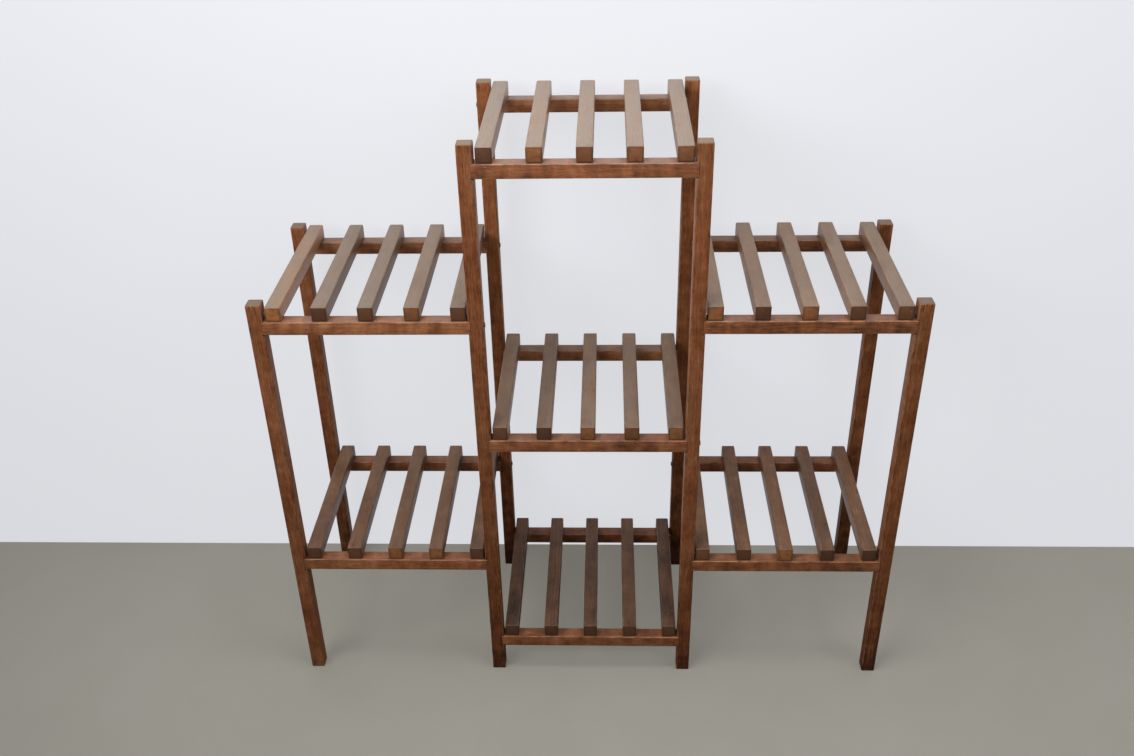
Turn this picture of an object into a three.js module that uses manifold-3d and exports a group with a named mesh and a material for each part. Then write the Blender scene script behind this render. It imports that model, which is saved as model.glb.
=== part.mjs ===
// Tiered plant stand: a tall centre tower with a lower wing on each side, all made from
// one kind of square hardwood stick. The tower carries three slatted shelves and each wing
// carries two. Every shelf is a front rail and a rear rail with slats lying across them.
// The rail ends are let into shallow housings cut across the posts, and the wings share
// the tower's posts at their inner ends.
//
// Millimetres. +Z is up, +X is to the right of someone facing the stand, and the front
// faces -Y. The origin is on the floor, under the middle of the stand.

import * as THREE from 'three';
import { mergeVertices } from 'three/addons/utils/BufferGeometryUtils.js';
import Module from 'manifold-3d';

const wasm = await Module();
wasm.setup();

// ---------------------------------------------------------------- driving dimensions

// The whole stand, measured over the outer faces of the posts.
const STAND_DEPTH = 296;
const TOWER_WIDTH = 340;
const WING_WIDTH = 319; // from the tower post's outer face to the wing post's outer face

// Posts.
const POST_SIDE = 22;
const POST_PROUD = 4; // post tops above the slats of their topmost shelf

// Rails are as thick from front to back as the posts, so that both their faces lie flush.
const RAIL_HEIGHT = 21;

// Height of the rails' top edges above the floor, shelf by shelf.
const TOWER_BOTTOM_SHELF = 75;
const TOWER_MIDDLE_SHELF = 481;
const TOWER_TOP_SHELF = 924;
const WING_LOWER_SHELF = 244;
const WING_UPPER_SHELF = 687;

// Housings: the shallow grooves across a post that take the rail ends.
const HOUSING_DEPTH = 3.5;
const JOINT_CLEARANCE = 0.3; // between a rail end and the floor and top edge of its housing
const HOUSING_SLACK = 1.2; // the groove is cut this much too low, and the gap shows

// Slats.
const SLATS_PER_SHELF = 5;
const SLAT_WIDTH = 23;
const SLAT_HEIGHT = 23;
const SLAT_SETBACK = 2.5; // slat's front end behind the rail's front face
const TOWER_SLAT_GAP = 3; // first and last slat to the tower posts beside them
const WING_INNER_SLAT_GAP = 2; // wing's inner slat to the tower post beside it
const WING_OUTER_SLAT_GAP = 4.5; // wing's outer slat to the wing post beside it

// The sticks' long edges are rounded over, and their sawn ends are eased a little less.
const ARRIS_RADIUS = 1.6;
const END_EASE = 0.6 * ARRIS_RADIUS;
const ARRIS_FACETS = 4;

// ---------------------------------------------------------------- wood

const postWood = new THREE.MeshStandardMaterial({ color: 0x74452c, roughness: 0.55, metalness: 0 });
const railWood = new THREE.MeshStandardMaterial({ color: 0x855437, roughness: 0.52, metalness: 0 });
const slatWood = new THREE.MeshStandardMaterial({ color: 0x7a5340, roughness: 0.48, metalness: 0 });

// ---------------------------------------------------------------- one stick

// Outline of a stick's section, from (0, 0) to (width, height), with rounded corners.
function stickSection(width, height) {
  const r = ARRIS_RADIUS;
  const section = new THREE.Shape();
  section.moveTo(r, 0);
  section.absarc(width - r, r, r, -Math.PI / 2, 0, false);
  section.absarc(width - r, height - r, r, 0, Math.PI / 2, false);
  section.absarc(r, height - r, r, Math.PI / 2, Math.PI, false);
  section.absarc(r, r, r, Math.PI, 1.5 * Math.PI, false);
  return section;
}

// A stick that runs from the origin along +Z, with its section in the XY quadrant.
function uprightStick(width, depth, length) {
  const stick = new THREE.ExtrudeGeometry(stickSection(width, depth), {
    depth: length - 2 * END_EASE,
    curveSegments: ARRIS_FACETS / 2, // an arc takes twice this number
    bevelEnabled: true,
    bevelThickness: END_EASE,
    bevelSize: END_EASE,
    bevelOffset: -END_EASE,
    bevelSegments: 1,
  });
  return stick.translate(0, 0, END_EASE);
}

// Turns a stick along +Z so that it runs along +X. Its width goes to Y and its depth to Z.
function layAlongX(stick) {
  const x = new THREE.Vector3(0, 1, 0);
  const y = new THREE.Vector3(0, 0, 1);
  const z = new THREE.Vector3(1, 0, 0);
  return stick.applyMatrix4(new THREE.Matrix4().makeBasis(x, y, z));
}

// Turns a stick along +Z so that it runs along +Y. Its width goes to Z and its depth to X.
function layAlongY(stick) {
  const x = new THREE.Vector3(0, 0, 1);
  const y = new THREE.Vector3(1, 0, 0);
  const z = new THREE.Vector3(0, 1, 0);
  return stick.applyMatrix4(new THREE.Matrix4().makeBasis(x, y, z));
}

// ---------------------------------------------------------------- cutting

function solidOf(geometry) {
  const bare = geometry.clone();
  bare.deleteAttribute('normal');
  bare.deleteAttribute('uv');
  const merged = mergeVertices(bare);
  return new wasm.Manifold(new wasm.Mesh({
    numProp: 3,
    vertProperties: new Float32Array(merged.attributes.position.array),
    triVerts: new Uint32Array(merged.index.array),
  }));
}

function geometryOf(solid) {
  const mesh = solid.getMesh();
  const geometry = new THREE.BufferGeometry();
  geometry.setAttribute('position', new THREE.BufferAttribute(mesh.vertProperties, 3));
  geometry.setIndex(new THREE.BufferAttribute(mesh.triVerts, 1));
  geometry.computeVertexNormals();
  return geometry;
}

// The block that cuts one housing: right across the post from front to back, from the
// post's left face or its right one, for a rail whose top edge is at railTop. It stands
// out of the post by a post's thickness wherever the groove is open.
function housingCutter(side, railTop) {
  const proud = POST_SIDE;
  const width = HOUSING_DEPTH + proud;
  const depth = POST_SIDE + 2 * proud;
  const height = RAIL_HEIGHT + JOINT_CLEARANCE + HOUSING_SLACK;
  const cutter = new THREE.BoxGeometry(width, depth, height);
  const x = side === 'left' ? width / 2 - proud : POST_SIDE + proud - width / 2;
  const top = railTop + JOINT_CLEARANCE;
  return cutter.translate(x, POST_SIDE / 2, top - height / 2);
}

// ---------------------------------------------------------------- posts

// A post stands from z = 0 with its left front corner at the origin. Each housing is
// given as the face it is cut in and the height of its rail's top edge.
function post(name, height, housings, x, y) {
  let solid = solidOf(uprightStick(POST_SIDE, POST_SIDE, height));
  for (const [side, railTop] of housings) {
    solid = solid.subtract(solidOf(housingCutter(side, railTop)));
  }
  const mesh = new THREE.Mesh(geometryOf(solid), postWood);
  mesh.name = name;
  mesh.position.set(x, y, 0);
  return mesh;
}

const FRONT_Y = -STAND_DEPTH / 2;
const REAR_POST_Y = STAND_DEPTH / 2 - POST_SIDE;

// A front post and a rear post, alike, at the same distance along the stand.
function postPair(prefix, suffix, height, housings, x) {
  return [
    post(`${prefix}_front${suffix}_post`, height, housings, x, FRONT_Y),
    post(`${prefix}_rear${suffix}_post`, height, housings, x, REAR_POST_Y),
  ];
}

// ---------------------------------------------------------------- shelves

// A rail between two posts, its ends reaching into their housings. Its top edge is at
// z = 0 of the shelf, and the shelf's x = 0 is the face of the post on its left.
function rail(name, span, y) {
  const reach = HOUSING_DEPTH - JOINT_CLEARANCE;
  const geometry = layAlongX(uprightStick(POST_SIDE, RAIL_HEIGHT, span + 2 * reach));
  geometry.translate(0, 0, -RAIL_HEIGHT);
  const mesh = new THREE.Mesh(geometry, railWood);
  mesh.name = name;
  mesh.position.set(-reach, y, 0);
  return mesh;
}

// A slat from front to back, lying on both rails, its rear end flush with the rear rail.
function slat(name, x) {
  const length = STAND_DEPTH - SLAT_SETBACK;
  const mesh = new THREE.Mesh(layAlongY(uprightStick(SLAT_HEIGHT, SLAT_WIDTH, length)), slatWood);
  mesh.name = name;
  mesh.position.set(x, FRONT_Y + SLAT_SETBACK, 0);
  return mesh;
}

// One shelf: two rails, and the slats spaced evenly from the first to the last.
function shelf(prefix, leftFace, rightFace, railTop, leftGap, rightGap) {
  const span = rightFace - leftFace;
  const group = new THREE.Group();
  group.position.set(leftFace, 0, railTop);
  group.add(rail(`${prefix}_front_rail`, span, FRONT_Y));
  group.add(rail(`${prefix}_rear_rail`, span, REAR_POST_Y));
  const pitch = (span - leftGap - rightGap - SLAT_WIDTH) / (SLATS_PER_SHELF - 1);
  for (let i = 0; i < SLATS_PER_SHELF; i += 1) {
    group.add(slat(`${prefix}_slat_${i + 1}`, leftGap + i * pitch));
  }
  return group;
}

// ---------------------------------------------------------------- tower and wings

const TOWER_FACE = TOWER_WIDTH / 2; // the tower posts' outer faces, from the middle
const TOWER_INSIDE = TOWER_FACE - POST_SIDE;
const WING_FACE = TOWER_FACE + WING_WIDTH; // the wing posts' outer faces
const WING_INSIDE = WING_FACE - POST_SIDE;

const TOWER_POST_HEIGHT = TOWER_TOP_SHELF + SLAT_HEIGHT + POST_PROUD;
const WING_POST_HEIGHT = WING_UPPER_SHELF + SLAT_HEIGHT + POST_PROUD;

const TOWER_SHELVES = [
  ['tower_bottom', TOWER_BOTTOM_SHELF],
  ['tower_middle', TOWER_MIDDLE_SHELF],
  ['tower_top', TOWER_TOP_SHELF],
];
const WING_SHELVES = [
  ['lower', WING_LOWER_SHELF],
  ['upper', WING_UPPER_SHELF],
];

function housingsFor(side, shelves) {
  return shelves.map(([, railTop]) => [side, railTop]);
}

// The tower's four posts carry its own rails on their inner faces and the wings' on their
// outer ones.
function tower() {
  const group = new THREE.Group();
  const left = [...housingsFor('right', TOWER_SHELVES), ...housingsFor('left', WING_SHELVES)];
  const right = [...housingsFor('left', TOWER_SHELVES), ...housingsFor('right', WING_SHELVES)];
  group.add(...postPair('tower', '_left', TOWER_POST_HEIGHT, left, -TOWER_FACE));
  group.add(...postPair('tower', '_right', TOWER_POST_HEIGHT, right, TOWER_INSIDE));
  for (const [name, railTop] of TOWER_SHELVES) {
    group.add(shelf(name, -TOWER_INSIDE, TOWER_INSIDE, railTop, TOWER_SLAT_GAP, TOWER_SLAT_GAP));
  }
  return group;
}

// A wing's two posts stand at its outer end, and its shelves reach in to the tower.
function wing(side) {
  const onLeft = side === 'left';
  const postX = onLeft ? -WING_FACE : WING_INSIDE;
  const [leftFace, rightFace] = onLeft ? [-WING_INSIDE, -TOWER_FACE] : [TOWER_FACE, WING_INSIDE];
  const leftGap = onLeft ? WING_OUTER_SLAT_GAP : WING_INNER_SLAT_GAP;
  const rightGap = onLeft ? WING_INNER_SLAT_GAP : WING_OUTER_SLAT_GAP;
  const housings = housingsFor(onLeft ? 'right' : 'left', WING_SHELVES);
  const group = new THREE.Group();
  group.add(...postPair(`${side}_wing`, '', WING_POST_HEIGHT, housings, postX));
  for (const [name, railTop] of WING_SHELVES) {
    group.add(shelf(`${side}_${name}`, leftFace, rightFace, railTop, leftGap, rightGap));
  }
  return group;
}

const stand = new THREE.Group();
stand.add(tower(), wing('left'), wing('right'));

export default stand;
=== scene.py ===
import math

import bmesh
import bpy
import numpy as np
from mathutils import Matrix, Vector


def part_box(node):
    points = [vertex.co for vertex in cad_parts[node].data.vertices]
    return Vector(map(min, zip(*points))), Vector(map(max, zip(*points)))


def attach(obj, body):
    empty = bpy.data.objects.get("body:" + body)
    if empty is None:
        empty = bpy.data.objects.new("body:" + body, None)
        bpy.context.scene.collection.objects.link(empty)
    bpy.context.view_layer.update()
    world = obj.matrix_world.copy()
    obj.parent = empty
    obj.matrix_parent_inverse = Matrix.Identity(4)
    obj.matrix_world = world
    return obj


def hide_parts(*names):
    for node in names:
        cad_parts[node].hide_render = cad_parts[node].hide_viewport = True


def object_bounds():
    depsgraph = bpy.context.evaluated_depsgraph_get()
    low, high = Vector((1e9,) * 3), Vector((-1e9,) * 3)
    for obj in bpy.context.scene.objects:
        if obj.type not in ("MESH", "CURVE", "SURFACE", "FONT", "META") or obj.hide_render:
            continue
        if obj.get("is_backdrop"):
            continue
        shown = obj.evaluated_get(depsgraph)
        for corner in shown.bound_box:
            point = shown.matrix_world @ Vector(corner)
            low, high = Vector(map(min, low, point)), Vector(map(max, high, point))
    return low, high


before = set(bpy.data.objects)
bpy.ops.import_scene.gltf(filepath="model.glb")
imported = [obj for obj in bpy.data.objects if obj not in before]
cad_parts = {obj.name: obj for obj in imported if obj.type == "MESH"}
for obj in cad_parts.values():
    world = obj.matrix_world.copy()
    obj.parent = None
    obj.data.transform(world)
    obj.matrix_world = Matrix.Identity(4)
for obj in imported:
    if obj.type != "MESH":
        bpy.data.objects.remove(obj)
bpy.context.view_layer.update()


# ------------------------------------------------------------------------------- posts
# Eight upright sticks of square hardwood, sawn off square at both ends and stained a
# reddish brown. Shallow housings are sawn across them to take the rail ends. Handling has
# rubbed their long edges round, knocked them here and there, and thinned the stain.

MM = 0.001  # sizes are in mm unless they say otherwise, and the stand is in metres
POST_EDGE = 1.8  # how round the long edges are rubbed
POST_END = 1.5  # how far the sawn ends are eased
POST_SEED = 100  # each post has its own draws, counted on from here

# A stick's mesh is a row of rings along its length, with its corners rounded in steps.
X, Y, Z = 0, 1, 2  # the axis that a stick lies along
RING_EVERY = 5.0
ARC_STEPS = 4
SHARP_EDGE = 35  # degrees

# How unevenly the edges are rubbed, as a share of their roundness and over what length, and
# how often knocks have dented them, how far along and how deep.
UNEVEN_RUB = 0.08
RUB_LENGTH = 60.0
KNOCK_EVERY = 160.0
KNOCK_LENGTH = (2.5, 5.0)
KNOCK_DEPTH = (0.15, 0.5)
LEAST_EDGE = 0.3  # no edge is sharper than this

# The faces are not quite flat: they have long waves, and short ripples from planing.
WAVE_DEPTH = 0.06
WAVE_LENGTH = 90.0
RIPPLE_DEPTH = 0.03
RIPPLE_LENGTH = 11.0

# Where in a tree each stick was sawn: how far from the pith, how far to one side, and how
# far along the timber, so that no two sticks have the same grain.
FROM_PITH = (25, 70)
TO_ONE_SIDE = (-5, 5)
ALONG_TIMBER = (1000, 9000)

# The grooves for the rail ends, as they are sawn: 0.3 mm clear of the rail's end and top
# edge, and 1.2 mm too low. The saw runs out past the post at its open sides.
JOINT_CLEARANCE = 0.3
HOUSING_SLACK = 1.2
SAW_RUN = 20.0
SAW_WIDTH = 60.0

# How light (above 0) or dark (below 0) each post took the stain.
POST_STAIN = {
    "tower_front_left_post": 0.0,
    "tower_front_right_post": 0.2,
    "tower_rear_left_post": -0.2,
    "tower_rear_right_post": -0.3,
    "left_wing_front_post": 0.4,
    "left_wing_rear_post": 0.0,
    "right_wing_front_post": 0.2,
    "right_wing_rear_post": -0.2,
}

# Painted shade darkens the feet, all but one that the light reaches low down: by how much at
# the floor, and how far up, in mm.
POST_FOOT_SHADE = 1.6
FOOT_SHADE_REACH = 130.0
FOOT_LIT_POST = "left_wing_front_post"

# How far daylight has faded the posts' tops, and how dark the stain has sealed their sawn
# ends, from 0 to 1.
POST_FADING = 1.3
POST_SEAL = 0.7


def wander(at, step, rng):
    """A smooth random line along a stick, from -1 to 1, with a bend about every step mm."""
    knots = rng.uniform(-1, 1, int(at[-1] / step) + 3)
    whole = np.floor(at / step).astype(int)
    share = at / step - whole
    share = share * share * (3 - 2 * share)
    return knots[whole] * (1 - share) + knots[whole + 1] * share


def rubbed_edge(at, edge, rng):
    """How round one long edge is, all along a stick, with the dents that knocks have left."""
    round_off = edge * (1 + UNEVEN_RUB * wander(at, RUB_LENGTH, rng))
    for _ in range(rng.poisson(at[-1] / KNOCK_EVERY)):
        place = rng.uniform(0, at[-1])
        reach = rng.uniform(*KNOCK_LENGTH)
        round_off += rng.uniform(*KNOCK_DEPTH) * np.exp(-(((at - place) / reach) ** 2))
    return round_off


def uneven_face(at, rng):
    """How far one face of a stick lies below a flat one, all along it."""
    waves = WAVE_DEPTH * (1 + wander(at, WAVE_LENGTH, rng))
    ripples = RIPPLE_DEPTH * (1 + wander(at, RIPPLE_LENGTH, rng))
    return waves + ripples


def stick_stations(length, end):
    """Where a stick's rings lie along it, and how far each is drawn in to ease the ends."""
    turn = np.linspace(0, math.pi / 2, ARC_STEPS)
    rise = end * (1 - np.cos(turn))
    draw = end * (1 - np.sin(turn))
    body = np.linspace(end, length - end, int(length / RING_EVERY))[1:-1]
    at = np.concatenate([rise, body, length - rise[::-1]])
    return at, np.concatenate([draw, 0 * body, draw[::-1]])


def stick_rings(size, edge, end, rng):
    """The points of a stick's rings in mm, across and along, from its own middle."""
    at, draw = stick_stations(size[2], end)
    faces = [uneven_face(at, rng) for _ in range(4)]
    right, top = (size[i] / 2 - draw - faces[i] for i in (0, 1))
    left, bottom = (-(size[i] / 2 - draw - faces[i + 2]) for i in (0, 1))
    corners = [(right, 1, bottom, -1), (right, 1, top, 1), (left, -1, top, 1), (left, -1, bottom, -1)]
    columns = []
    for turn, (u, u_side, v, v_side) in enumerate(corners):
        reach = np.maximum(rubbed_edge(at, edge, rng) - draw, LEAST_EDGE)
        for step in range(ARC_STEPS + 1):
            angle = math.pi / 2 * (turn - 1 + step / ARC_STEPS)
            across = u + (math.cos(angle) - u_side) * reach
            up = v + (math.sin(angle) - v_side) * reach
            columns.append(np.stack([across, up], 1))
    rings = np.stack(columns, 1)
    along = np.broadcast_to((at - size[2] / 2)[:, None, None], rings.shape[:2] + (1,))
    return np.concatenate([rings, along], 2)


def stick_mesh(name, node, along, edge, end, rng):
    """A stick in the place of a CAD node, lying along X, Y or Z."""
    low, high = (np.array(corner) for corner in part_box(node))
    order = [(along + 1) % 3, (along + 2) % 3, along]
    rings = stick_rings((high - low)[order] / MM, edge, end, rng)
    count, around = rings.shape[:2]
    points = np.zeros((count * around, 3))
    points[:, order] = rings.reshape(-1, 3) * MM
    points += (low + high) / 2
    first = np.arange(count - 1)[:, None] * around
    here = np.arange(around)[None, :]
    after = (here + 1) % around
    sides = np.stack([first + here, first + after, first + after + around, first + here + around], 2)
    caps = [list(range(around))[::-1], list(range((count - 1) * around, count * around))]
    mesh = bpy.data.meshes.new(name)
    mesh.from_pydata(points.tolist(), [], sides.reshape(-1, 4).tolist() + caps)
    return mesh


def lay_grain(mesh, node, along, look, rng, foot_shade=0.0):
    """Gives each point of a stick its place in the timber, in mm, for the finish to read."""
    low, high = (np.array(corner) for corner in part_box(node))
    order = [(along + 1) % 3, (along + 2) % 3, along]
    points = np.zeros(len(mesh.vertices) * 3)
    mesh.vertices.foreach_get("co", points)
    half = (high - low)[order] / 2 / MM
    place = (points.reshape(-1, 3) - (low + high) / 2)[:, order] / MM
    turn = rng.uniform(0, 2 * math.pi)
    from_pith = rng.uniform(*FROM_PITH)
    aside = rng.uniform(*TO_ONE_SIDE)
    grain = place.copy()
    grain[:, 0] = math.cos(turn) * place[:, 0] - math.sin(turn) * place[:, 1] + from_pith
    grain[:, 1] = math.sin(turn) * place[:, 0] + math.cos(turn) * place[:, 1] + aside
    grain[:, 2] += rng.uniform(*ALONG_TIMBER)
    section = place / half
    section[:, 2] = half[2] - abs(place[:, 2])
    looks = np.tile(look, (len(place), 1))
    # Painted shade: the stain value is lowered towards the foot of a stick, so that it comes out
    # darker there.
    looks[:, 0] -= foot_shade * np.exp(-(place[:, 2] + half[2]) / FOOT_SHADE_REACH)
    values = {"grain": grain, "section": section, "look": looks}
    for label, value in values.items():
        layer = mesh.attributes.new(label, "FLOAT_VECTOR", "POINT")
        layer.data.foreach_set("vector", value.ravel())


def seat_piece(name, mesh, node, finish):
    """Puts a stick into the stand in place of its CAD node."""
    mesh.validate()
    mesh.shade_smooth()
    mesh.set_sharp_from_angle(angle=math.radians(SHARP_EDGE))
    mesh.materials.clear()
    mesh.materials.append(finish)
    piece = bpy.data.objects.new(name, mesh)
    bpy.context.scene.collection.objects.link(piece)
    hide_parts(node)
    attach(piece, "root")


def housings_in(post):
    """The ends of rails that reach into a post, each with the sign of the face it enters by."""
    low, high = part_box(post)
    found = []
    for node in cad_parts:
        if not node.endswith("_rail"):
            continue
        rail_low, rail_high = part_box(node)
        if rail_low.y > high.y or rail_high.y < low.y:
            continue
        for end, side in ((rail_low.x, 1), (rail_high.x, -1)):
            if low.x < end < high.x:
                found.append((node, end, side, rail_low.z, rail_high.z))
    return found


def saw_housings(mesh, post):
    """Cuts the grooves for the rail ends right across a post."""
    low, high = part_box(post)
    cutter = bmesh.new()
    for _, end, side, bottom, top in housings_in(post):
        floor_x = end - side * JOINT_CLEARANCE * MM
        outer_x = floor_x + side * SAW_RUN * MM
        block = Vector((
            abs(outer_x - floor_x),
            SAW_WIDTH * MM,
            top - bottom + (JOINT_CLEARANCE + HOUSING_SLACK) * MM,
        ))
        middle = Vector((
            (floor_x + outer_x) / 2,
            (low.y + high.y) / 2,
            (top + bottom + (JOINT_CLEARANCE - HOUSING_SLACK) * MM) / 2,
        ))
        matrix = Matrix.Translation(middle) @ Matrix.Diagonal((*block, 1))
        bmesh.ops.create_cube(cutter, size=1, matrix=matrix)
    saw_mesh = bpy.data.meshes.new("saw")
    cutter.to_mesh(saw_mesh)
    cutter.free()
    saw = bpy.data.objects.new("saw", saw_mesh)
    blank = bpy.data.objects.new("blank", mesh)
    for obj in (saw, blank):
        bpy.context.scene.collection.objects.link(obj)
    cut = blank.modifiers.new("housings", "BOOLEAN")
    cut.operation = "DIFFERENCE"
    cut.solver = "EXACT"
    cut.object = saw
    depsgraph = bpy.context.evaluated_depsgraph_get()
    sawn = bpy.data.meshes.new_from_object(blank.evaluated_get(depsgraph))
    for obj in (saw, blank):
        bpy.data.objects.remove(obj)
    return sawn


# The finish: a reddish brown stain under a thin dull lacquer.


def paint(red, green, blue):
    """A colour as the shaders take it, from the way it looks on a screen, 0 to 255."""
    shares = [value / 255 for value in (red, green, blue)]
    light = [s / 12.92 if s < 0.04045 else ((s + 0.055) / 1.055) ** 2.4 for s in shares]
    return (*light, 1.0)


def add_node(tree, kind, inputs, **settings):
    """Adds a shader node. Inputs are given by place or name, as a value or another's output."""
    node = tree.nodes.new(kind)
    for name, value in settings.items():
        setattr(node, name, value)
    for socket, value in inputs.items():
        if isinstance(value, bpy.types.NodeSocket):
            tree.links.new(value, node.inputs[socket])
        else:
            node.inputs[socket].default_value = value
    return node


def attribute(tree, label):
    """What lay_grain wrote on the mesh under this label."""
    return add_node(tree, "ShaderNodeAttribute", {}, attribute_name=label).outputs["Vector"]


def split(tree, vector):
    return add_node(tree, "ShaderNodeSeparateXYZ", {0: vector}).outputs


def calc(tree, operation, first, second=0.0, third=0.0):
    inputs = {0: first, 1: second, 2: third}
    return add_node(tree, "ShaderNodeMath", inputs, operation=operation).outputs[0]


def stretch(tree, vector, *shares):
    """Scales a place by a share along each axis, to set how large a pattern on it is."""
    inputs = {0: vector, 1: shares}
    return add_node(tree, "ShaderNodeVectorMath", inputs, operation="MULTIPLY").outputs[0]


def noise(tree, vector, detail=2.0, rough=0.5):
    """Soft noise with about one spot to a unit, mostly near 0.5."""
    inputs = {"Vector": vector, "Scale": 1.0, "Detail": detail, "Roughness": rough}
    return add_node(tree, "ShaderNodeTexNoise", inputs).outputs[0]


def mottle(tree, grain, across, along, detail=2.0, rough=0.5):
    """Noise laid with the grain: about so many spots to a mm across a stick and along it."""
    return noise(tree, stretch(tree, grain, across, across, along), detail, rough)


def step_up(tree, value, low, high):
    """0 at low, 1 at high and smooth between. With low above high it runs the other way."""
    inputs = {0: value, 1: low, 2: high}
    return add_node(tree, "ShaderNodeMapRange", inputs, interpolation_type="SMOOTHSTEP").outputs[0]


def lay_over(tree, share, under, over, blend="MIX"):
    """Lays one colour over another by a share. A Mix node takes its colours at 6 and 7."""
    inputs = {0: share, 6: under, 7: over}
    node = add_node(tree, "ShaderNodeMix", inputs, data_type="RGBA", blend_type=blend)
    return node.outputs[2]


def colours_along(tree, value, stops):
    """A run of colours, each at its own place between 0 and 1, picked by a value."""
    ramp = add_node(tree, "ShaderNodeValToRGB", {0: value})
    band = ramp.color_ramp.elements
    while len(band) < len(stops):
        band.new(0.5)
    for element, (place, colour) in zip(band, stops):
        element.position = place
        element.color = colour
    return ramp.outputs[0]


def stained_wood(name, stain, worn, faded_and_sheen, raw_end, sealed_end, blotches, gloss, matt, side_dust_sheen):
    """Stained hardwood: growth rings, fibres, pores, patchy stain, rubbed edges, faded tops.

    The tops' fade and dust carry a painted sheen as well. Blotches is how strongly the figure
    across the stick shows, gloss how much the lacquer shines, matt its least roughness, and
    side_dust_sheen the sides' share of the tops' grey and painted sheen.
    """
    finish = bpy.data.materials.new(name)
    finish.use_nodes = True
    tree = finish.node_tree
    coat = tree.nodes["Principled BSDF"]
    grain = attribute(tree, "grain")
    across, over, to_end = split(tree, attribute(tree, "section"))
    took_stain, fading_and_sheen, end_seal = split(tree, attribute(tree, "look"))

    # Growth rings, bent a little as the tree grew, with fibres and pores between them.
    bend = mottle(tree, grain, across=0.03, along=0.007)
    from_pith = add_node(
        tree, "ShaderNodeVectorMath", {0: stretch(tree, grain, 1, 1, 0)}, operation="LENGTH"
    ).outputs["Value"]
    ring_place = calc(tree, "MULTIPLY_ADD", bend, 9.0, from_pith)
    rings = add_node(
        tree,
        "ShaderNodeTexNoise",
        {"W": calc(tree, "MULTIPLY", ring_place, 0.5), "Scale": 1.0, "Detail": 3.0},
        noise_dimensions="1D",
    ).outputs[0]
    fibres = mottle(tree, grain, across=1.3, along=0.05, detail=3.0, rough=0.6)
    flecks = mottle(tree, grain, across=0.55, along=0.10, detail=3.0, rough=0.65)
    pores = step_up(tree, mottle(tree, grain, across=2.3, along=0.14, detail=1.0), 0.60, 0.70)
    lines = mottle(tree, grain, across=0.5, along=0.015, detail=3.0, rough=0.65)

    # The stain has sunk in deeper here and there, in patches, in streaks along the stick and
    # in a faint figure across it.
    patches = mottle(tree, grain, across=0.05, along=0.018, detail=3.0, rough=0.55)
    streaks = mottle(tree, grain, across=0.22, along=0.008)
    figure = mottle(tree, grain, across=0.03, along=0.06, detail=3.0, rough=0.6)
    causes = (
        (rings, 0.4),
        (fibres, 0.6),
        (flecks, 0.6),
        (lines, 0.5),
        (patches, 0.8),
        (figure, blotches),
    )
    depth = calc(tree, "MULTIPLY_ADD", took_stain, 0.3, 0.5)
    for cause, share in causes:
        depth = calc(tree, "MULTIPLY_ADD", calc(tree, "SUBTRACT", cause, 0.5), share, depth)
    colour = colours_along(tree, depth, stain)
    darkest = stain[0][1]
    colour = lay_over(tree, calc(tree, "MULTIPLY", pores, 0.45), colour, darkest)
    redder = (1.10, 0.84, 0.82, 1.0)
    red = lay_over(tree, 1.0, colour, redder, "MULTIPLY")
    reddened = calc(tree, "MULTIPLY", step_up(tree, streaks, 0.40, 0.65), 0.6)
    colour = lay_over(tree, reddened, colour, red)

    # Rubbed edges: thin and pale where hands and pots have been, and broken up by the grain.
    edge_across = calc(tree, "SUBTRACT", 1.0, calc(tree, "ABSOLUTE", across))
    edge_over = calc(tree, "SUBTRACT", 1.0, calc(tree, "ABSOLUTE", over))
    from_edge = calc(tree, "MAXIMUM", edge_across, edge_over)
    from_edge = calc(tree, "MULTIPLY_ADD", calc(tree, "SUBTRACT", flecks, 0.5), 0.3, from_edge)
    where = mottle(tree, grain, across=0.12, along=0.035, detail=3.0)
    at_edge = step_up(tree, from_edge, 0.17, 0.02)
    rubbed = calc(tree, "MULTIPLY", at_edge, step_up(tree, where, 0.40, 0.60))
    colour = lay_over(tree, calc(tree, "MULTIPLY", rubbed, 0.75), colour, worn)

    # Dirt and old knocks along the edges and over the last 30 mm of a stick, where the
    # lacquer has gone dark.
    knocks = mottle(tree, grain, across=0.30, along=0.045, detail=4.0, rough=0.7)
    near_edge = step_up(tree, from_edge, 0.55, 0.12)
    near_end = step_up(tree, to_end, 30.0, 4.0)
    exposed = calc(tree, "MAXIMUM", near_edge, near_end)
    dirt = calc(tree, "MULTIPLY", step_up(tree, knocks, 0.53, 0.62), exposed)
    colour = lay_over(tree, calc(tree, "MULTIPLY", dirt, 0.7), colour, darkest)

    # Sawn ends: end grain, sealed dark by the stain or left raw, and dark round the rim.
    end_face = step_up(tree, to_end, 0.5, 0.1)
    end_colour = lay_over(tree, end_seal, raw_end, sealed_end)
    speckle = mottle(tree, grain, across=1.1, along=0.4, detail=3.0, rough=0.6)
    speckle = calc(tree, "MULTIPLY", step_up(tree, speckle, 0.40, 0.70), 0.45)
    end_colour = lay_over(tree, speckle, end_colour, darkest)
    cloudy = mottle(tree, grain, across=0.10, along=0.1)
    cloudy = calc(tree, "MULTIPLY", step_up(tree, cloudy, 0.35, 0.75), 0.6)
    fairly_dark = stain[1][1]
    end_colour = lay_over(tree, cloudy, end_colour, fairly_dark)
    nearest_side = calc(tree, "MINIMUM", edge_across, edge_over)
    rim = calc(tree, "MULTIPLY", step_up(tree, nearest_side, 0.35, 0.02), 0.6)
    end_colour = lay_over(tree, rim, end_colour, darkest)
    colour = lay_over(tree, end_face, colour, end_colour)
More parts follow.
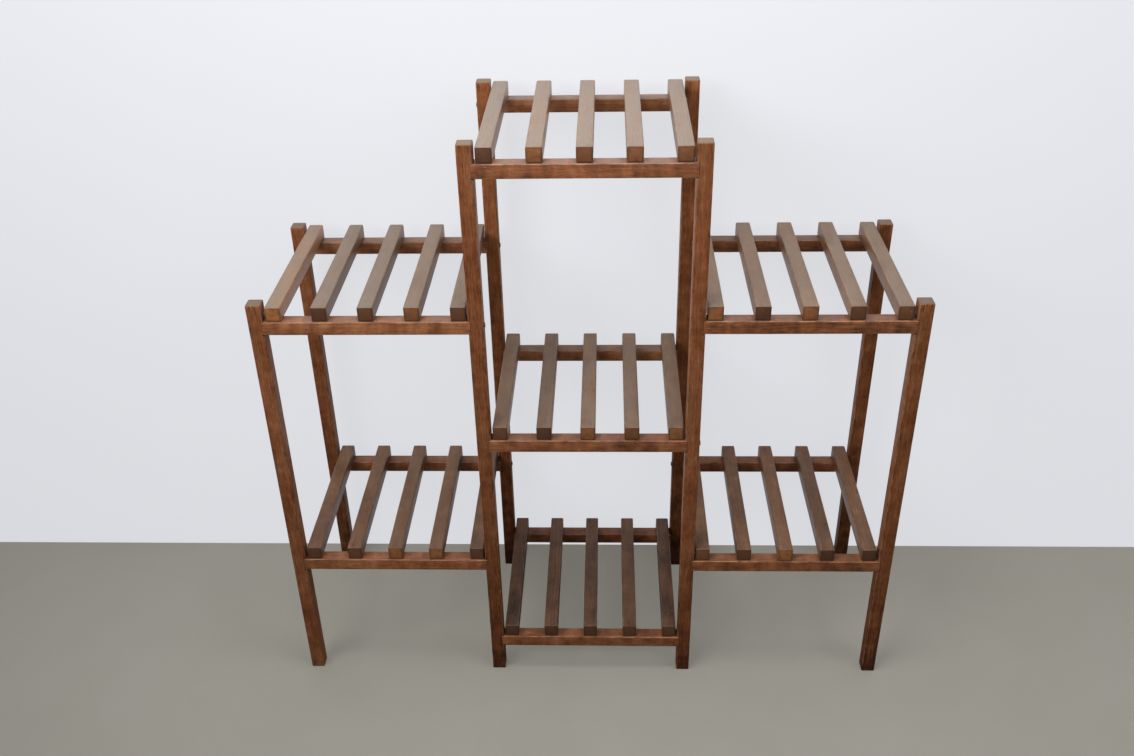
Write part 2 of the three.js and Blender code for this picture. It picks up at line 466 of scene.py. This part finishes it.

    # Tops: faded and dusty, thinly where things have rubbed them, with a painted sheen in the
    # grey, which stands in for the pale reflection that the tops show. The sides have less of it
    # and the sawn ends none.
    facing = add_node(tree, "ShaderNodeNewGeometry", {}).outputs["Normal"]
    upward = step_up(tree, split(tree, facing)[2], 0.35, 0.85)
    beside = calc(tree, "MULTIPLY", calc(tree, "SUBTRACT", 1.0, end_face), side_dust_sheen)
    upward = calc(tree, "MAXIMUM", upward, beside)
    film = calc(tree, "MULTIPLY_ADD", patches, 0.9, calc(tree, "MULTIPLY", flecks, 0.5))
    dust_and_sheen = calc(tree, "MULTIPLY", calc(tree, "MULTIPLY", upward, fading_and_sheen), film)
    dust_and_sheen = calc(tree, "MINIMUM", dust_and_sheen, 1.0)
    bare = calc(tree, "MAXIMUM", step_up(tree, flecks, 0.45, 0.70), step_up(tree, lines, 0.45, 0.65))
    grey = lay_over(tree, calc(tree, "MULTIPLY", bare, 0.5), faded_and_sheen, colour)
    colour = lay_over(tree, dust_and_sheen, colour, grey)

    # A few pale scuffs and specks.
    speck = mottle(tree, grain, across=0.45, along=0.22, detail=1.0)
    speck = step_up(tree, speck, 0.765, 0.79)
    colour = lay_over(tree, calc(tree, "MULTIPLY", speck, 0.7), colour, worn)

    # The lacquer is rougher in patches and flecks and where it is rubbed or dusty, and the
    # grain stands up through it, with the pores sunk in.
    rough = matt
    for cause, share in ((patches, 0.20), (flecks, 0.10), (rubbed, 0.12), (dust_and_sheen, 0.06)):
        rough = calc(tree, "MULTIPLY_ADD", cause, share, rough)
    relief = 0.0
    for cause, share in ((rings, 0.3), (fibres, 0.6), (flecks, 0.4), (pores, -0.5)):
        relief = calc(tree, "MULTIPLY_ADD", cause, share, relief)
    bump = add_node(tree, "ShaderNodeBump", {"Height": relief, "Strength": 0.5, "Distance": 0.4 * MM})
    for socket, value in (("Base Color", colour), ("Roughness", rough), ("Normal", bump.outputs[0])):
        tree.links.new(value, coat.inputs[socket])
    coat.inputs["IOR"].default_value = 1.5
    coat.inputs["Specular IOR Level"].default_value = gloss
    return finish


post_finish = stained_wood(
    "post_wood",
    stain=[
        (0.0, paint(57, 32, 18)),
        (0.35, paint(103, 62, 36)),
        (0.65, paint(126, 81, 52)),
        (1.0, paint(152, 106, 75)),
    ],
    worn=paint(164, 124, 94),
    faded_and_sheen=paint(96, 84, 73),
    raw_end=paint(140, 100, 66),
    sealed_end=paint(96, 78, 64),
    blotches=0.6,
    gloss=0.1,
    matt=0.27,
    side_dust_sheen=0.0,
)

posts = sorted(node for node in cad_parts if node.endswith("_post"))
for number, node in enumerate(posts):
    rng = np.random.default_rng(POST_SEED + number)
    blank = stick_mesh("blank", node, Z, POST_EDGE, POST_END, rng)
    post = saw_housings(blank, node)
    post.name = node + "_wood"
    # Painted shade on the feet, left off the post that the light reaches low down.
    foot_shade = 0.0 if node == FOOT_LIT_POST else POST_FOOT_SHADE
    lay_grain(post, node, Z, (POST_STAIN[node], POST_FADING, POST_SEAL), rng, foot_shade)
    seat_piece(node + "_wood", post, node, post_finish)


# ------------------------------------------------------------------------------- rails
# Fourteen sticks of the same stock, two to a shelf. They are let into the posts flush with
# their front and back faces, so that the joints show only as a seam. Their stain is a
# little more orange than the posts'.

RAIL_EDGE = 1.3
RAIL_END = 0.4
RAIL_SEED = 200
RAIL_SEAL = 0.5

# How light or dark each rail took the stain.
RAIL_STAIN = {
    "tower_top_front_rail": -0.1,
    "tower_middle_front_rail": 0.1,
    "tower_bottom_front_rail": 0.0,
    "left_upper_front_rail": 0.6,
    "left_lower_front_rail": 0.4,
    "right_upper_front_rail": -0.2,
    "right_lower_front_rail": 0.1,
    "tower_top_rear_rail": 0.6,
    "tower_middle_rear_rail": 1.0,
    "tower_bottom_rear_rail": -0.3,
    "left_upper_rear_rail": 0.8,
    "left_lower_rear_rail": 0.3,
    "right_upper_rear_rail": 0.0,
    "right_lower_rear_rail": 0.0,
}

# How far the upper faces of rails and slats are greyed by daylight and dust, with a painted
# sheen in the grey. The lower shelves are sheltered and have faded less, and they have less
# painted sheen, as less light falls on them. The rear rails are greyed more than the front ones.
TOP_FADING_AND_SHEEN = {
    "tower_top": 1.4,
    "tower_middle": 1.1,
    "tower_bottom": 0.3,
    "left_upper": 1.4,
    "left_lower": 0.5,
    "right_upper": 1.15,
    "right_lower": 0.4,
}
FRONT_RAIL_FADING_AND_SHEEN = 0.7
REAR_RAIL_FADING_AND_SHEEN = 1.3

rail_finish = stained_wood(
    "rail_wood",
    stain=[
        (0.0, paint(64, 38, 24)),
        (0.35, paint(110, 67, 41)),
        (0.65, paint(138, 87, 54)),
        (1.0, paint(166, 114, 76)),
    ],
    worn=paint(180, 138, 107),
    # The grey of faded, dusty tops, and further down the sides' share of it; both also paint in a
    # sheen.
    faded_and_sheen=paint(90, 74, 64),
    raw_end=paint(140, 100, 66),
    sealed_end=paint(96, 78, 64),
    blotches=1.3,
    gloss=0.25,
    matt=0.17,
    side_dust_sheen=0.18,
)


def shelf_of(rail):
    """The shelf that a rail carries: left_upper for left_upper_rear_rail."""
    return rail.rsplit("_", 2)[0]


rails = sorted(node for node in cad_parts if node.endswith("_rail"))
for number, node in enumerate(rails):
    rng = np.random.default_rng(RAIL_SEED + number)
    rail = stick_mesh(node + "_wood", node, X, RAIL_EDGE, RAIL_END, rng)
    share = REAR_RAIL_FADING_AND_SHEEN if "rear" in node else FRONT_RAIL_FADING_AND_SHEEN
    faded_and_sheen = share * TOP_FADING_AND_SHEEN[shelf_of(node)]
    lay_grain(rail, node, X, (RAIL_STAIN[node], faded_and_sheen, RAIL_SEAL), rng)
    seat_piece(node + "_wood", rail, node, rail_finish)


# ------------------------------------------------------------------------------- slats
# Thirty-five sticks of the same stock, five to a shelf. They lie from front to back across
# the rails and are nailed to them from below. Pots, water and daylight have faded their tops
# to a greyer brown than their sides, and the grey also paints in the tops' sheen.

SLAT_EDGE = 2.0
SLAT_END = 1.5
SLAT_SEED = 300
SLAT_FADING_AND_SHEEN_SPREAD = (0.9, 1.1)

# How light or dark each slat took the stain, and how dark its sawn front end is (0 to 1),
# from the left of each shelf to the right.
SLAT_STAIN = {
    "tower_top": (-0.3, 0.2, 0.0, 0.1, -0.2),
    "tower_middle": (0.3, -0.3, 0.7, 0.4, 0.0),
    # The tower's bottom shelf is dark partly in its stain and partly as painted shade from the
    # shelves above it.
    "tower_bottom": (-1.0, -0.4, -0.8, -0.4, -0.9),
    "left_upper": (1.5, -0.2, -0.3, 0.3, 0.0),
    "left_lower": (0.1, 0.1, 0.1, 0.1, -0.2),
    "right_upper": (0.2, 0.2, 0.2, 0.1, 0.1),
    "right_lower": (-0.1, -0.1, 0.5, -0.3, 0.2),
}
SLAT_ENDS = {
    "tower_top": (1.0, 0.5, 0.75, 0.6, 0.7),
    "tower_middle": (0.8, 1.0, 0.4, 0.7, 0.4),
    "tower_bottom": (1.0, 1.0, 1.0, 0.9, 0.9),
    "left_upper": (0.0, 1.0, 0.9, 0.5, 0.9),
    "left_lower": (0.9, 0.8, 0.2, 0.2, 0.9),
    "right_upper": (0.3, 1.0, 0.4, 0.9, 0.8),
    "right_lower": (0.7, 0.9, 0.1, 1.0, 1.0),
}

slat_finish = stained_wood(
    "slat_wood",
    stain=[
        (0.0, paint(50, 32, 22)),
        (0.35, paint(90, 59, 37)),
        (0.65, paint(114, 77, 48)),
        (1.0, paint(144, 102, 66)),
    ],
    worn=paint(156, 122, 97),
    # The grey of faded, dusty tops, and further down the sides' share of it; both also paint in a
    # sheen.
    faded_and_sheen=paint(103, 92, 80),
    raw_end=paint(168, 108, 64),
    sealed_end=paint(84, 56, 42),
    blotches=0.6,
    gloss=0.25,
    matt=0.17,
    side_dust_sheen=0.3,
)

slats = sorted(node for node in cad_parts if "_slat_" in node)
for number, node in enumerate(slats):
    shelf, place = node.split("_slat_")
    rng = np.random.default_rng(SLAT_SEED + number)
    slat = stick_mesh(node + "_wood", node, Y, SLAT_EDGE, SLAT_END, rng)
    took = SLAT_STAIN[shelf][int(place) - 1]
    seal = SLAT_ENDS[shelf][int(place) - 1]
    faded_and_sheen = TOP_FADING_AND_SHEEN[shelf] * rng.uniform(*SLAT_FADING_AND_SHEEN_SPREAD)
    lay_grain(slat, node, Y, (took, faded_and_sheen, seal), rng)
    seat_piece(node + "_wood", slat, node, slat_finish)


# ------------------------------------------------------------------------------- nails
# Steel nails. A large-headed one goes through each post into a rail's end, from the face
# opposite the joint, and a smaller one goes up through a rail into each slat end. Most are
# driven level with the post, but a few have worked loose and stand proud of it.

POST_NAIL_HEAD = 4.0  # radius, in mm
POST_NAIL_PROUD = 1.8
SLAT_NAIL_HEAD = 2.2
SLAT_NAIL_PROUD = 0.4
NAIL_THICK = 2.0
NAIL_ROUND = 20  # points round a head
RUST_SPOTS = 900  # to a metre

# The loose nails of each post, by the rail that each was driven into.
LOOSE_NAILS = {
    "tower_front_left_post": ("left_upper_front_rail",),
    "tower_front_right_post": ("tower_middle_front_rail",),
    "tower_rear_left_post": ("left_upper_rear_rail", "left_lower_rear_rail", "tower_top_rear_rail"),
    "tower_rear_right_post": ("right_lower_rear_rail",),
}

# The head's outline, as shares of its radius and of its thickness below the crown.
NAIL_OUTLINE = (
    (0.0, 0.0),
    (0.5, 0.02),
    (0.8, 0.08),
    (0.95, 0.3),
    (1.0, 0.6),
    (0.95, 1.0),
    (0.0, 1.0),
)


def steel():
    """Dull dark steel with a little rust."""
    finish = bpy.data.materials.new("nail_steel")
    finish.use_nodes = True
    tree = finish.node_tree
    place = add_node(tree, "ShaderNodeTexCoord", {}).outputs["Object"]
    rust = noise(tree, stretch(tree, place, RUST_SPOTS, RUST_SPOTS, RUST_SPOTS), 3.0, 0.6)
    rust = step_up(tree, rust, 0.42, 0.6)
    coat = tree.nodes["Principled BSDF"]
    colour = lay_over(tree, rust, paint(88, 78, 72), paint(74, 44, 28))
    tree.links.new(colour, coat.inputs["Base Color"])
    tree.links.new(calc(tree, "MULTIPLY_ADD", rust, 0.35, 0.4), coat.inputs["Roughness"])
    tree.links.new(calc(tree, "MULTIPLY_ADD", rust, -0.7, 0.8), coat.inputs["Metallic"])
    return finish


nail_finish = steel()


def nail_heads(name, places, out, size):
    """A group of nail heads, each with its crown at one of the places, all facing along out."""
    heads = bmesh.new()
    up = Vector(out)
    side = up.orthogonal().normalized()
    for place in places:
        rows = []
        for radius, depth in NAIL_OUTLINE:
            centre = Vector(place) - up * depth * NAIL_THICK * MM
            if radius == 0:
                rows.append([heads.verts.new(centre)])
                continue
            rim = []
            for i in range(NAIL_ROUND):
                turn = Matrix.Rotation(2 * math.pi * i / NAIL_ROUND, 3, up)
                rim.append(heads.verts.new(centre + turn @ side * radius * size * MM))
            rows.append(rim)
        for upper, lower in zip(rows, rows[1:]):
            for i in range(NAIL_ROUND):
                j = (i + 1) % NAIL_ROUND
                corners = [upper[i % len(upper)], lower[i % len(lower)]]
                corners += [lower[j % len(lower)], upper[j % len(upper)]]
                heads.faces.new(dict.fromkeys(corners))
    bmesh.ops.recalc_face_normals(heads, faces=heads.faces)
    mesh = bpy.data.meshes.new(name)
    heads.to_mesh(mesh)
    heads.free()
    mesh.shade_smooth()
    mesh.materials.append(nail_finish)
    piece = bpy.data.objects.new(name, mesh)
    bpy.context.scene.collection.objects.link(piece)
    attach(piece, "root")


for node in posts:
    low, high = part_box(node)
    centre_y = (low.y + high.y) / 2
    for side, face, label in ((1, low.x, "left"), (-1, high.x, "right")):
        places = []
        for rail, _, entered, bottom, top in housings_in(node):
            if entered == side:
                proud = POST_NAIL_PROUD if rail in LOOSE_NAILS.get(node, ()) else 0.0
                places.append((face - side * proud * MM, centre_y, (bottom + top) / 2))
        if places:
            nail_heads(f"nails_{label}_{node}", places, (-side, 0, 0), POST_NAIL_HEAD)

for node in rails:
    low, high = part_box(node)
    boxes = [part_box(slat) for slat in slats if slat.startswith(shelf_of(node) + "_slat_")]
    crown_z = low.z - SLAT_NAIL_PROUD * MM
    places = [((a.x + b.x) / 2, (low.y + high.y) / 2, crown_z) for a, b in boxes]
    nail_heads(f"nails_under_{node}", places, (0, 0, -1), SLAT_NAIL_HEAD)


# ------------------------------------------------------------------------------ studio
# A pale floor, with a white backdrop close behind the stand. The backdrop shows only from
# its front, so that the stand can be seen from behind as well.

# Metres.
BACKDROP_Y = 0.186
BACKDROP_TOP = 3.5
STUDIO_REACH = 6  # from the middle out to each side
CLOUDS = 3  # to a metre

# The share of their looks that is a glow of their own: the floor's and the backdrop's to
# the camera, and the backdrop's where the lacquer reflects it.
FLOOR_GLOW = 0.4
BACKDROP_GLOW = 0.85
REFLECTED_GLOW = 0.45

# The room's light from below and how much more there is from above, how bright the room
# itself looks, and its tint.
ROOM_BELOW = 0.03
ROOM_ABOVE = 0.18
ROOM_SEEN = 0.8
ROOM_TINT = (0.97, 0.985, 1.0, 1.0)


def pale_surface(name, colour, shade):
    """A dull surface of one colour, a little darker in soft clouds."""
    finish = bpy.data.materials.new(name)
    finish.use_nodes = True
    tree = finish.node_tree
    place = add_node(tree, "ShaderNodeTexCoord", {}).outputs["Object"]
    cloud = noise(tree, stretch(tree, place, CLOUDS, CLOUDS, CLOUDS), 4.0, 0.6)
    coat = tree.nodes["Principled BSDF"]
    clouded = lay_over(tree, step_up(tree, cloud, 0.3, 0.7), shade, colour)
    tree.links.new(clouded, coat.inputs["Base Color"])
    coat.inputs["Roughness"].default_value = 0.8
    return finish


def sheet(name, corners, finish):
    """A flat surface of the studio, which is no part of the stand."""
    mesh = bpy.data.meshes.new(name)
    mesh.from_pydata(corners, [], [(0, 1, 2, 3)])
    mesh.materials.append(finish)
    obj = bpy.data.objects.new(name, mesh)
    bpy.context.scene.collection.objects.link(obj)
    obj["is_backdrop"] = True


# The floor looks pale to the eye, but throws less light than that up at the stand.
floor_finish = pale_surface("pale_floor", paint(160, 157, 148), paint(154, 151, 141))
floor_tree = floor_finish.node_tree
floor_coat = floor_tree.nodes["Principled BSDF"]
ray = add_node(floor_tree, "ShaderNodeLightPath", {}).outputs
bounced = calc(floor_tree, "MAXIMUM", ray["Is Diffuse Ray"], ray["Is Glossy Ray"])
seen_colour = floor_coat.inputs["Base Color"].links[0].from_socket
floor_colour = lay_over(floor_tree, bounced, seen_colour, paint(112, 106, 94))
floor_tree.links.new(floor_colour, floor_coat.inputs["Base Color"])

# It also glows a little of itself for the camera, so that it is pale out to its far end and
# still takes the stand's shadow.
lit = floor_coat.outputs[0]
pale = add_node(floor_tree, "ShaderNodeEmission", {0: paint(150, 147, 139), 1: 1.0}).outputs[0]
share = calc(floor_tree, "MULTIPLY", ray["Is Camera Ray"], FLOOR_GLOW)
shown = add_node(floor_tree, "ShaderNodeMixShader", {0: share, 1: lit, 2: pale}).outputs[0]
floor_tree.links.new(shown, floor_tree.nodes["Material Output"].inputs["Surface"])

# The backdrop glows white of itself, with only a faint shade of the stand on it.
backdrop_finish = pale_surface("white_backdrop", paint(236, 237, 240), paint(232, 233, 237))
backdrop_tree = backdrop_finish.node_tree
lit = backdrop_tree.nodes["Principled BSDF"].outputs[0]
white = add_node(backdrop_tree, "ShaderNodeEmission", {0: paint(227, 228, 233), 1: 1.0}).outputs[0]
ray = add_node(backdrop_tree, "ShaderNodeLightPath", {}).outputs
share = calc(backdrop_tree, "MULTIPLY", ray["Is Glossy Ray"], REFLECTED_GLOW)
share = calc(backdrop_tree, "MULTIPLY_ADD", ray["Is Camera Ray"], BACKDROP_GLOW, share)
front = add_node(backdrop_tree, "ShaderNodeMixShader", {0: share, 1: lit, 2: white}).outputs[0]
behind = add_node(backdrop_tree, "ShaderNodeNewGeometry", {}).outputs["Backfacing"]
clear = add_node(backdrop_tree, "ShaderNodeBsdfTransparent", {}).outputs[0]
shown = add_node(backdrop_tree, "ShaderNodeMixShader", {0: behind, 1: front, 2: clear}).outputs[0]
backdrop_tree.links.new(shown, backdrop_tree.nodes["Material Output"].inputs["Surface"])

around = ((-1, -1), (1, -1), (1, 1), (-1, 1))
sheet("floor", [(x * STUDIO_REACH, y * STUDIO_REACH, 0) for x, y in around], floor_finish)
upright = ((-1, 0), (1, 0), (1, BACKDROP_TOP), (-1, BACKDROP_TOP))
sheet("backdrop", [(x * STUDIO_REACH, BACKDROP_Y, z) for x, z in upright], backdrop_finish)

world = bpy.data.worlds.new("room")
bpy.context.scene.world = world
world.use_nodes = True
room = world.node_tree
height = split(room, add_node(room, "ShaderNodeTexCoord", {}).outputs["Generated"])[2]
glow = calc(room, "MULTIPLY_ADD", step_up(room, height, -0.1, 0.9), ROOM_ABOVE, ROOM_BELOW)
ray = add_node(room, "ShaderNodeLightPath", {}).outputs
seen = calc(room, "MAXIMUM", ray["Is Camera Ray"], ray["Is Glossy Ray"])
glow = calc(room, "MAXIMUM", glow, calc(room, "MULTIPLY", seen, ROOM_SEEN))
sky = room.nodes["Background"]
sky.inputs["Color"].default_value = ROOM_TINT
room.links.new(glow, sky.inputs["Strength"])


def soft_box(name, place, aim, size, power, spread):
    """A wide soft lamp that the camera doesn't see, in metres, watts and degrees."""
    lamp = bpy.data.lights.new(name, "AREA")
    lamp.spread = math.radians(spread)
    lamp.shape = "RECTANGLE"
    lamp.size, lamp.size_y = size
    lamp.energy = power
    obj = bpy.data.objects.new(name, lamp)
    obj.location = place
    obj.rotation_euler = (Vector(aim) - Vector(place)).to_track_quat("-Z", "Y").to_euler()
    obj.visible_camera = False
    bpy.context.scene.collection.objects.link(obj)


soft_box(
    "key_light",
    place=(-1.5, -1.5, 2.0),
    aim=(-0.1, 0.1, 1.45),
    size=(1.6, 1.2),
    power=21,
    spread=90,
)
soft_box(
    "fill_light",
    place=(1.6, -1.2, 1.8),
    aim=(0.1, 0.1, 1.2),
    size=(1.2, 1.0),
    power=6,
    spread=110,
)
soft_box(
    "ceiling_light",
    place=(0.0, -0.22, 1.6),
    aim=(0.0, -0.1, 0.6),
    size=(1.5, 0.5),
    power=12,
    spread=180,
)


# ------------------------------------------------------------------------------ camera
# Held by hand at eye height, some 1.4 m in front of the stand, and looking down at it. Its
# place and angles were fitted to the corners of the sticks.

CAMERA_PLACE = (0.0306, -1.5657, 1.4603)  # in metres
CAMERA_TURN = -2.43  # degrees to the right
CAMERA_TILT = -31.42  # degrees above the horizon
CAMERA_ROLL = -1.32
CAMERA_LENS = 35.92
CAMERA_SENSOR = 36.0

camera = bpy.data.cameras.new("camera")
camera.sensor_width = CAMERA_SENSOR
camera.lens = CAMERA_LENS
viewer = bpy.data.objects.new("camera", camera)
viewer.matrix_world = (
    Matrix.Translation(CAMERA_PLACE)
    @ Matrix.Rotation(math.radians(-CAMERA_TURN), 4, "Z")
    @ Matrix.Rotation(math.radians(90 + CAMERA_TILT), 4, "X")
    @ Matrix.Rotation(math.radians(CAMERA_ROLL), 4, "Z")
)
bpy.context.scene.collection.objects.link(viewer)
bpy.context.scene.camera = viewer
bpy.context.scene.view_settings.view_transform = "Standard"

low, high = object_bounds()
